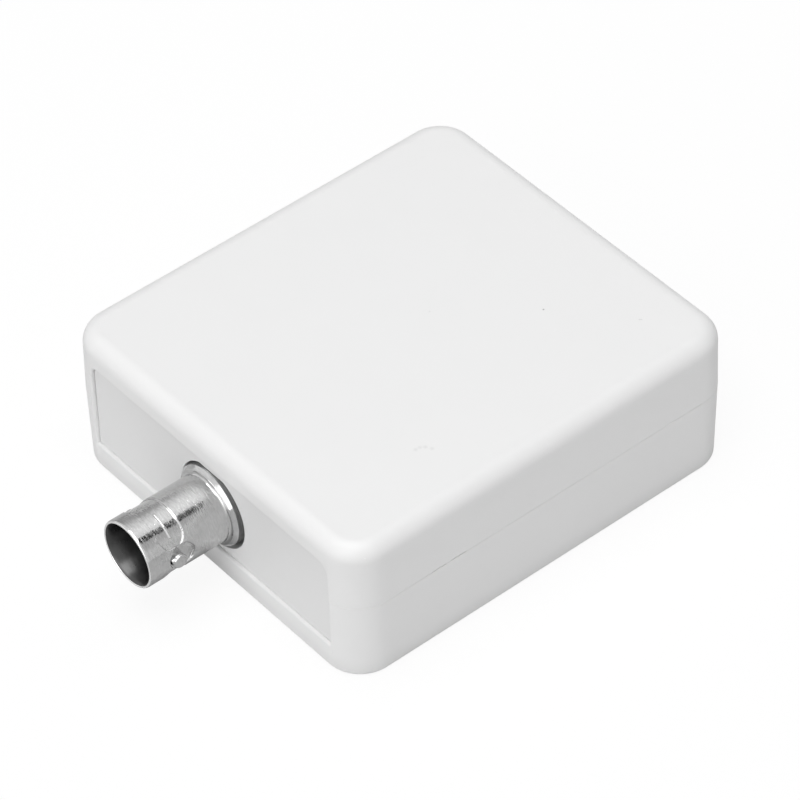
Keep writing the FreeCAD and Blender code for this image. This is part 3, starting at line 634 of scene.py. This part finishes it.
rings = [round_ring(lead_in, bore_radius), round_ring(0.05 * mm, mouth_radius - 0.03 * mm),
         round_ring(0, mouth_radius)]
for rise, fall in quarter(8):
    rings.append(round_ring(rim_length * (1 - fall), rim_radius + (barrel_radius - rim_radius) * rise))
along = rim_length + 0.1 * mm
fine_start = land_length - 0.3 * mm
fine_end = spot_distance + spot_radius + 0.2 * mm
while along < flange_front - neck_bevel - 0.15 * mm:
    rings.append(barrel_ring(along, lambda turn: barrel_surface(turn, along)))
    along += fine_step if fine_start < along < fine_end else coarse_step
    if along < fine_start:
        along = min(along, fine_start + 0.001 * mm)
rings.append(round_ring(flange_front - neck_bevel - 0.1 * mm, barrel_radius))
for rise, fall in quarter(6):
    rings.append(round_ring(flange_front - neck_bevel * (1 - rise),
                            barrel_radius + neck_bevel * (1 - fall)))
for rise, fall in quarter(3):
    rings.append(round_ring(flange_front + flange_step * rise,
                            flange_step_radius + flange_step * (1 - fall)))
for share in (0, 0.08, 0.92, 1):
    rings.append(round_ring(flange_front + flange_step + flange_bevel * share,
                            flange_radius - flange_bevel * (1 - share)))
rings.append(round_ring(foot_front, flange_radius))
rings.append(round_ring(foot_front, seat_radius))
rings.append(round_ring(bore_depth, seat_radius))
rings.append(round_ring(bore_depth, bore_radius))
shape = bmesh.new()
skin(shape, rings, capped=False)


def lug_foot(x, turn):
    """Uneven swelling at the lug's root, where the casting's gate was broken off on the mouth side."""
    toward_mouth = eased(-math.cos(turn) * 0.8 + 0.2)
    knobs = 0.5 + 0.3 * math.sin(5 * turn + 0.7) + 0.2 * math.sin(9 * turn + 2.1)
    return lug_foot_growth * toward_mouth * knobs * eased((lug_reach - 0.15 * mm - x) / (0.25 * mm))


def add_lug(shape, side):
    """Bayonet lug: a short round pin with a bevelled end and a knobbly root."""
    sections = [(bore_radius + 0.1 * mm, lug_radius)]
    sections += [(barrel_radius - spot_depth + step * 0.1 * mm, lug_radius) for step in range(10)]
    sections += [(lug_reach - lug_bevel * (1 - rise), lug_radius - lug_bevel * (1 - fall))
                 for rise, fall in quarter(4)]
    turns = [math.tau * step / 72 for step in range(72)]
    skin(shape, [[Vector((side * x, mouth + lug_distance + (radius + lug_foot(x, turn)) * math.cos(turn),
                          jack_height + (radius + lug_foot(x, turn)) * math.sin(turn))) for turn in turns]
                 for x, radius in sections])


def add_foot(shape):
    """Square foot behind the flange, round on its upper edges."""
    section = [(-foot_half, board_top), (foot_half, board_top)]
    for side, first in ((1, 0), (-1, 90)):
        for step in range(6):
            turn = math.radians(first + 90 * step / 5)
            section.append((side * (foot_half - foot_round) + foot_round * math.cos(turn),
                            foot_top - foot_round + foot_round * math.sin(turn)))
    skin(shape, [[Vector((x, mouth + foot_front + depth, z)) for x, z in section]
                 for depth in (0.02 * mm, foot_depth)])


add_lug(shape, -1)
add_lug(shape, 1)
add_foot(shape)
jack_body = new_piece("bnc_jack_shell", shape)
smooth(jack_body, 40)
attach(jack_body, "root")
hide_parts("bnc_body")
nickel = metal("turned_nickel", (0.57, 0.57, 0.57), roughness=0.11, line_scale=(1300, 5000, 1300),
               line_depth=0.03 * mm, spread=0.25, line_tone=0.4)
# Painted shade: the bore and its lead-in are dull cast nickel painted nearly black, for the shade deep
# inside the jack.
bore_shade_nickel = metal("cast_nickel_painted_bore_shade", (0.085, 0.085, 0.085), roughness=0.3,
                    line_scale=(900, 2500, 900), line_depth=0.01 * mm, spread=0.3)
# Painted highlight: the mouth's rim face is painted near-white, for the bright line along the rim.
rim_highlight_nickel = metal("nickel_rim_painted_highlight", (0.92, 0.92, 0.92), roughness=0.25,
                    line_scale=(900, 2500, 900), line_depth=0.01 * mm, spread=0.1)
paint(jack_body, nickel)
jack_body.data.materials.append(bore_shade_nickel)
jack_body.data.materials.append(rim_highlight_nickel)
rim_face_depth = 0.06 * mm
for face in jack_body.data.polygons:
    from_axis = math.hypot(face.center.x, face.center.z - jack_height)
    inward = face.center.y - mouth
    in_bore = from_axis < bore_radius + 0.02 * mm
    in_lead = from_axis < mouth_radius - 0.04 * mm and inward < lead_in
    if in_bore or in_lead:
        face.material_index = 1
    elif inward < rim_face_depth:
        face.material_index = 2

# Insulator and centre contact of the jack: white fluoropolymer pressed into the casting, and a
# gold-flashed spring socket whose tail turns down into the board.
white_polymer = moulded_plastic("white_fluoropolymer", (0.78, 0.77, 0.74), roughness=0.35, drift=0.05)
paint(nodes["bnc_insulator"], white_polymer)
gold = metal("gold_flash", (0.83, 0.62, 0.3), roughness=0.2, line_scale=(300, 3000, 300),
             line_depth=0.001 * mm)
paint(nodes["bnc_contact"], gold)

# VGA socket: a drawn steel shell round a blue moulded body, with fifteen contacts in three rows. Two
# hexagonal posts clamp the panel against its flange, and its legs are soldered into the board.
drawn_steel = metal("plated_steel", (0.6, 0.6, 0.59), roughness=0.22, line_scale=(700, 700, 700),
                    line_depth=0.0015 * mm)
paint(nodes["vga_shell"], drawn_steel)
blue_plastic = moulded_plastic("blue_socket_plastic", (0.02, 0.07, 0.36), roughness=0.35, drift=0.1,
                               texture_size=5000)
paint(nodes["vga_insulator"], blue_plastic)
paint(nodes["vga_contacts"], gold)
thread_radius = 1.13 * mm
thread_margin = 0.04 * mm
thread_pitch = 0.635 * mm
# How strongly the thread's grooves are painted darker, for their shade.
painted_groove_shade = 1.5
post_tone = (0.6, 0.59, 0.56)
post_roughness = 0.24
post_line_scale = (300, 5000, 300)


def tapped_hole_group():
    """Painted shade of a thread in a hole along Y: the colour darkens into each groove, within its radius.
    """
    group, start, end = node_group(
        "tapped_hole",
        [("Color", "NodeSocketColor", (0.6, 0.6, 0.6, 1)), ("Axis", "NodeSocketVector", (0, 0, 0))],
        [("Color", "NodeSocketColor")])
    place = add_node(group, "ShaderNodeNewGeometry")
    offset = add_node(group, "ShaderNodeVectorMath", operation="SUBTRACT")
    group.links.new(place.outputs["Position"], offset.inputs[0])
    group.links.new(start.outputs["Axis"], offset.inputs[1])
    axes = separated(group, offset.outputs[0])
    turn = calculate(group, "ARCTAN2", axes["Z"], axes["X"])
    along_thread = calculate(group, "MULTIPLY_ADD", turn, thread_pitch / math.tau, axes["Y"])
    ridge = calculate(group, "PINGPONG", along_thread, thread_pitch / 2)
    across = calculate(group, "POWER", axes["X"], 2)
    upward = calculate(group, "POWER", axes["Z"], 2)
    from_axis = calculate(group, "ADD", across, upward)
    inside = calculate(group, "LESS_THAN", from_axis, (thread_radius + thread_margin) ** 2)
    height = calculate(group, "MULTIPLY", ridge, inside)
    groove = calculate(group, "MULTIPLY_ADD", height, -painted_groove_shade / thread_pitch, 1)
    group.links.new(multiplied(group, start.outputs["Color"], groove), end.inputs["Color"])
    return group


tapped_hole = tapped_hole_group()
for name in ("vga_post_1", "vga_post_2"):
    post_low, post_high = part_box(name)
    post_axis = ((post_low.x + post_high.x) / 2, 0, (post_low.z + post_high.z) / 2)
    tapped = metal("tapped_" + name, post_tone, post_roughness, post_line_scale)
    tree = tapped.node_tree
    thread = add_node(tree, "ShaderNodeGroup", node_tree=tapped_hole, set={"Axis": post_axis})
    tree.links.new(tree.nodes["surface"].outputs["Color"], thread.inputs["Color"])
    recolour(tapped, thread.outputs["Color"])
    paint(nodes[name], tapped)

# Power jack: a black moulded housing with a turned and plated centre pin. It stands on the board beside
# the VGA socket, and its two tabs are soldered there.
black_plastic = moulded_plastic("black_jack_plastic", (0.022, 0.022, 0.022), roughness=0.4, drift=0.2,
                                texture_size=5000)
paint(nodes["power_jack_housing"], black_plastic)
pin_nickel = metal("pin_nickel", post_tone, post_roughness, post_line_scale)
paint(nodes["power_jack_pin"], pin_nickel)

# End panels: flat ABS plates moulded with a step, so that the face fills the window and the flange stays
# behind it. They are loose and only trapped between the two shells. One is cut for the jack, flat on top.
panel_slack = 0.09 * mm
panel_root_slack = 0.08 * mm
panel_lean = 0.07 * mm
slit_depth = 0.1 * mm
panel_recess = 0.64 * mm
panel_round = 0.08 * mm
hole_radius = 6.29 * mm
hole_offset_x = 0.35 * mm
hole_offset_z = 0.15 * mm
hole_flat = 5.8 * mm
hole_round = 0.1 * mm
panel_face = case_half_y - panel_recess


def face_outline(inset, slack=panel_slack):
    """Outline of the panel's raised face as x and z, a little narrower at its left end."""
    low = window_sill + 0.02 * mm + inset
    high = window_head - panel_gap - inset
    left = -window_half + slack + inset
    right = window_half - panel_gap - inset
    radius = window_corner - inset
    points = [(left - panel_lean, low), (right, low)]
    for centre, first in ((right - radius, 0), (left + radius, 90)):
        for step in range(9):
            turn = math.radians(first + 90 * step / 8)
            points.append((centre + radius * math.cos(turn), high - radius + radius * math.sin(turn)))
    return points


def hole_outline(grow):
    """The jack's hole as x and z: round, with its top cut flat."""
    radius = hole_radius + grow
    flat = math.asin((hole_flat + grow) / radius)
    points = []
    for step in range(97):
        turn = math.pi - flat + (math.pi + 2 * flat) * step / 96
        points.append((hole_offset_x + radius * math.cos(turn),
                       jack_height + hole_offset_z + radius * math.sin(turn)))
    return points


def end_prism(outlines):
    """Solid along Y through outlines at given distances from the case's middle, at the BNC end."""
    shape = bmesh.new()
    skin(shape, [[Vector((x, -y, z)) for x, z in points] for y, points in outlines])
    return new_piece("tool", shape)


flange_edge = window_half + panel_overlap
seat_y = case_half_y - end_wall
plate = block(-flange_edge, flange_edge, -seat_y, -panel_back, floor_wall, ceiling - panel_gap)
raised = [(seat_y - run_out / 2, face_outline(0, panel_root_slack)),
          (panel_face - slit_depth, face_outline(0, panel_root_slack)),
          (panel_face - slit_depth, face_outline(0))]
raised += [(panel_face - panel_round * (1 - rise), face_outline(panel_round * (1 - fall)))
           for rise, fall in quarter(4)]
combine(plate, [end_prism(raised)], "UNION")
drilled = [(panel_back - run_out, hole_outline(0))]
drilled += [(panel_face - hole_round * (1 - rise), hole_outline(hole_round * (1 - fall)))
            for rise, fall in quarter(4)]
drilled.append((case_half_y + run_out, hole_outline(hole_round)))
combine(plate, [end_prism(drilled)], "DIFFERENCE")
plate.name = "moulded_bnc_panel"
smooth(plate)
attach(plate, "root")
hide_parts("bnc_end_panel")
panel_white = (0.775, 0.775, 0.775)
panel_plastic = moulded_plastic("white_abs_panel", panel_white, case_roughness)
paint(plate, panel_plastic)
paint(nodes["vga_end_panel"], panel_plastic)

# Top cover: moulded like the tray, with a wide round along its top edge. It drops over the tray's tongue
# and the four screws pull it down. A short slot on one long side lets a blade lift it.
top_round = 2.4 * mm
pry_slot_middle = -case_half_y + 15.6 * mm
pry_slot_half = 2.8 * mm
pry_slot_height = 0.13 * mm
pry_web_from_middle = 0.1 * mm
pry_web_half = 0.42 * mm
pry_slot_depth = 0.9 * mm
pilot_radius = 1.32 * mm
pilot_top = head_recess_depth + 15 * mm
upper_profile = [(seam_chamfer, parting_height)]
for z in (parting_height + seam_chamfer, parting_height + seam_chamfer + support):
    upper_profile.append((draft_inset(z), z))
upper_round = rounded_edge(top_round, case_height - top_round, 1, 16)
upper_profile.append((draft_inset(upper_round[0][1] - support), upper_round[0][1] - support))
upper_profile += upper_round
upper_profile.append((upper_round[-1][0] + support, case_height))
shape = bmesh.new()
skin(shape, [case_ring(inset, z) for inset, z in upper_profile])
top_cover = new_piece("moulded_top_cover", shape)
combine(top_cover, [cavity(parting_height - run_out, ceiling)], "DIFFERENCE")
additions = panel_ribs(parting_height, ceiling + run_out / 2)
for place in screw_places:
    additions.append(upright_rod(place.x, place.y, boss_radius, parting_height, ceiling + run_out / 2))
combine(top_cover, additions, "UNION")
cuts = []
for side in (-1, 1):
    cuts += [window_tool(side), slot_tool(side)]
    low, high = sorted((side * (tongue_outer + lap_clearance),
                        side * (case_half_x - side_wall - lap_thickness)))
    cuts.append(block(low, high, -lap_half_length, lap_half_length,
                      parting_height - run_out, parting_height + lap_height + lap_clearance))
for place in screw_places:
    cuts.append(upright_rod(place.x, place.y, pilot_radius, parting_height - run_out, pilot_top))
pry_web = pry_slot_middle - pry_web_from_middle
for low, high in ((pry_slot_middle - pry_slot_half, pry_web - pry_web_half),
                  (pry_web + pry_web_half, pry_slot_middle + pry_slot_half)):
    cuts.append(block(case_half_x - pry_slot_depth, case_half_x + run_out, low, high,
                      parting_height - run_out, parting_height + pry_slot_height))
combine(top_cover, cuts, "DIFFERENCE")
smooth(top_cover)
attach(top_cover, "root")
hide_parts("top_cover")
cover_plastic = moulded_plastic("white_abs_cover", case_white, case_roughness)
tree = cover_plastic.node_tree
place = add_node(tree, "ShaderNodeTexCoord")
colour = tree.nodes["surface"].outputs["Color"]
soil = (0.1, 0.1, 0.1, 1)
# Each speck's place across and along the cover and its radius, in millimetres, and its strength.
specks = ((9.94, 15.71, 0.13, 0.75), (19.44, 23.63, 0.11, 0.3), (19.60, 23.83, 0.11, 0.3),
          (0.58, 4.55, 0.15, 0.12), (28.6, -6.31, 0.2, 0.3), (19.75, -11.3, 0.3, 0.1),
          (19.0, -11.75, 0.3, 0.12), (18.6, -12.3, 0.3, 0.1), (18.55, -12.95, 0.3, 0.12))
for x, y, radius, strength in specks:
    distance = add_node(tree, "ShaderNodeVectorMath", operation="DISTANCE")
    distance.inputs[1].default_value = (x * mm, y * mm, case_height)
    tree.links.new(place.outputs["Object"], distance.inputs[0])
    spot = add_node(tree, "ShaderNodeMapRange", interpolation_type="SMOOTHSTEP",
                    set={"From Min": 0, "From Max": radius * 1.5 * mm, "To Min": strength, "To Max": 0})
    tree.links.new(distance.outputs["Value"], spot.inputs["Value"])
    soiled = add_node(tree, "ShaderNodeMix", data_type="RGBA", set={7: soil})
    tree.links.new(spot.outputs[0], soiled.inputs[0])
    tree.links.new(colour, soiled.inputs[6])
    colour = soiled.outputs[2]
recolour(cover_plastic, colour)
paint(top_cover, cover_plastic)

# Case screws: four pan-headed screws of zinc-plated steel. They are driven up from recesses in the
# underside, through the tray's bosses and into the cover's.
zinc = metal("zinc_plate", (0.5, 0.5, 0.5), roughness=0.3, line_scale=(900, 900, 900),
             line_depth=0.003 * mm)
for name in screw_names:
    paint(nodes[name], zinc)

# Floor: a wide sheet of pale paper that the box lies on. It is nearly white where the camera sees it,
# still takes the shadow, and is greyer in the metal's reflections.
floor_half = 3
floor_drop = 0.02 * mm
floor_white_share = 0.9
floor_tone = (0.88, 0.88, 0.88, 1)
floor_reflected_tone = (0.6, 0.6, 0.6, 1)
shape = bmesh.new()
corners = ((-1, -1), (1, -1), (1, 1), (-1, 1))
shape.faces.new([shape.verts.new((x * floor_half, y * floor_half, -floor_drop)) for x, y in corners])
floor = new_piece("floor", shape)
floor_paper, tree, shader = new_material("floor_paper")
shader.inputs["Roughness"].default_value = 0.9
shader.inputs["Specular IOR Level"].default_value = 0
glow = add_node(tree, "ShaderNodeEmission", set={"Strength": 1})
pale = add_node(tree, "ShaderNodeBsdfDiffuse", set={"Color": (0.97, 0.97, 0.97, 1)})
seen = add_node(tree, "ShaderNodeMixShader", set={"Fac": floor_white_share})
tree.links.new(pale.outputs[0], seen.inputs[1])
tree.links.new(glow.outputs[0], seen.inputs[2])
rays = add_node(tree, "ShaderNodeLightPath")
choice = add_node(tree, "ShaderNodeMixShader")
tree.links.new(rays.outputs["Is Camera Ray"], choice.inputs["Fac"])
tree.links.new(shader.outputs[0], choice.inputs[1])
tree.links.new(seen.outputs[0], choice.inputs[2])
reflected = add_node(tree, "ShaderNodeMix", data_type="RGBA", set={6: floor_tone, 7: floor_reflected_tone})
tree.links.new(rays.outputs["Is Glossy Ray"], reflected.inputs[0])
tree.links.new(reflected.outputs[2], shader.inputs["Base Color"])
tree.links.new(choice.outputs[0], tree.nodes["Material Output"].inputs["Surface"])
paint(floor, floor_paper)

# Studio arch and card: a glowing half tunnel of paper that starts behind the case, and a dark card high up
# in it. Only reflections see them, and they give polished metal its broad and narrow streaks.
arch_radius = 0.8
arch_near = 0.08
arch_far = 0.62
arch_sections = 45
arch_peak = 1.25
# Brightness at angles from +X over the top to -X, in degrees.
arch_tones = ((0, 0.78), (25, 0.8), (45, 0.6), (62, 0.6), (78, 1.0), (95, 1.2), (112, 1.05), (128, 0.85),
              (142, 0.55), (160, 0.42), (180, 0.42))
card_place = Vector((0.326, 0.299, 0.67))
card_half_x = 0.15
card_half_y = 0.11


def stage_glossy(piece):
    """Keeps a studio piece out of everything but reflections."""
    piece.visible_camera = False
    piece.visible_diffuse = False
    piece.visible_shadow = False


shape = bmesh.new()
arcs = []
turns = [math.pi * step / arch_sections for step in range(arch_sections + 1)]
for y in (arch_near, arch_far):
    arcs.append([shape.verts.new((arch_radius * math.cos(turn), y, arch_radius * math.sin(turn)))
                 for turn in turns])
for step in range(arch_sections):
    shape.faces.new((arcs[0][step], arcs[0][step + 1], arcs[1][step + 1], arcs[1][step]))
arch = new_piece("studio_arch", shape)
stage_glossy(arch)
arch_paper, tree, shader = new_material("arch_paper")
place = add_node(tree, "ShaderNodeTexCoord")
axes = separated(tree, place.outputs["Object"])
turn = calculate(tree, "ARCTAN2", axes["Z"], axes["X"])
tones = add_node(tree, "ShaderNodeValToRGB")
tree.links.new(calculate(tree, "DIVIDE", turn, math.pi), tones.inputs["Fac"])
for angle, tone in arch_tones[1:-1]:
    tones.color_ramp.elements.new(angle / 180)
for stop, (angle, tone) in zip(tones.color_ramp.elements, arch_tones):
    stop.position = angle / 180
    stop.color = (tone / arch_peak, tone / arch_peak, tone / arch_peak, 1)
glow = add_node(tree, "ShaderNodeEmission", set={"Strength": arch_peak})
tree.links.new(tones.outputs["Color"], glow.inputs["Color"])
tree.links.new(glow.outputs[0], tree.nodes["Material Output"].inputs["Surface"])
paint(arch, arch_paper)
shape = bmesh.new()
shape.faces.new([shape.verts.new(card_place + Vector((x * card_half_x, y * card_half_y, 0)))
                 for x, y in corners])
card = new_piece("dark_card", shape)
stage_glossy(card)
card_black, tree, shader = new_material("card_black")
shader.inputs["Base Color"].default_value = (0.01, 0.01, 0.01, 1)
shader.inputs["Roughness"].default_value = 0.9
paint(card, card_black)

# Light: a dim even room, a broad lamp overhead, and weaker ones behind, at the BNC end and on the right.
# The camera and all reflections see the room as plain white.
room_level = 0.24
lamp_distance = 1.1
world = bpy.data.worlds.new("room")
bpy.context.scene.world = world
world.use_nodes = True
tree = world.node_tree
tree.nodes.clear()
room = add_node(tree, "ShaderNodeBackground", set={"Color": (1, 1, 1, 1), "Strength": room_level})
backdrop = add_node(tree, "ShaderNodeBackground", set={"Color": (1, 1, 1, 1), "Strength": 1})
rays = add_node(tree, "ShaderNodeLightPath").outputs
sharp = calculate(tree, "MAXIMUM", rays["Is Camera Ray"], rays["Is Glossy Ray"])
any_seen = calculate(tree, "MAXIMUM", sharp, rays["Is Transmission Ray"])
choice = add_node(tree, "ShaderNodeMixShader")
tree.links.new(any_seen, choice.inputs["Fac"])
tree.links.new(room.outputs[0], choice.inputs[1])
tree.links.new(backdrop.outputs[0], choice.inputs[2])
output = add_node(tree, "ShaderNodeOutputWorld")
tree.links.new(choice.outputs[0], output.inputs["Surface"])


def soft_lamp(name, azimuth, elevation, size, power):
    """Square lamp that faces the object from a compass direction, in degrees from +X."""
    lamp = bpy.data.lights.new(name, "AREA")
    lamp.shape = "SQUARE"
    lamp.size = size
    lamp.energy = power
    holder = bpy.data.objects.new(name, lamp)
    turn = math.radians(azimuth)
    rise = math.radians(elevation)
    away = Vector((math.cos(turn) * math.cos(rise), math.sin(turn) * math.cos(rise), math.sin(rise)))
    holder.location = away * lamp_distance
    holder.rotation_euler = away.to_track_quat("Z", "Y").to_euler()
    bpy.context.scene.collection.objects.link(holder)


soft_lamp("overhead_lamp", azimuth=270, elevation=80, size=0.9, power=7.6)
soft_lamp("rear_overhead_lamp", azimuth=90, elevation=72, size=0.9, power=1.8)
soft_lamp("low_front_lamp", azimuth=289, elevation=21, size=0.85, power=2.9)
soft_lamp("front_lamp", azimuth=287, elevation=48, size=0.5, power=0.7)
soft_lamp("right_lamp", azimuth=30, elevation=22, size=1.0, power=0.6)

# Camera: above the corner to the right of the BNC end and far off, with a long lens. It is turned a little
# about its own axis.
camera_place = Vector((0.33562, -0.26996, 0.42684))
camera_aim = Vector((0.00142, -0.00142, 0.01088))
camera_roll = math.radians(-1.8276)
lens = bpy.data.cameras.new("camera")
lens.lens = 208.70
lens.sensor_width = 36
lens.clip_end = 20
camera = bpy.data.objects.new("camera", lens)
level = (camera_aim - camera_place).to_track_quat("-Z", "Y").to_matrix().to_4x4()
camera.matrix_world = Matrix.Translation(camera_place) @ level @ Matrix.Rotation(camera_roll, 4, "Z")
bpy.context.scene.collection.objects.link(camera)
bpy.context.scene.camera = camera
bpy.context.scene.view_settings.view_transform = "Standard"
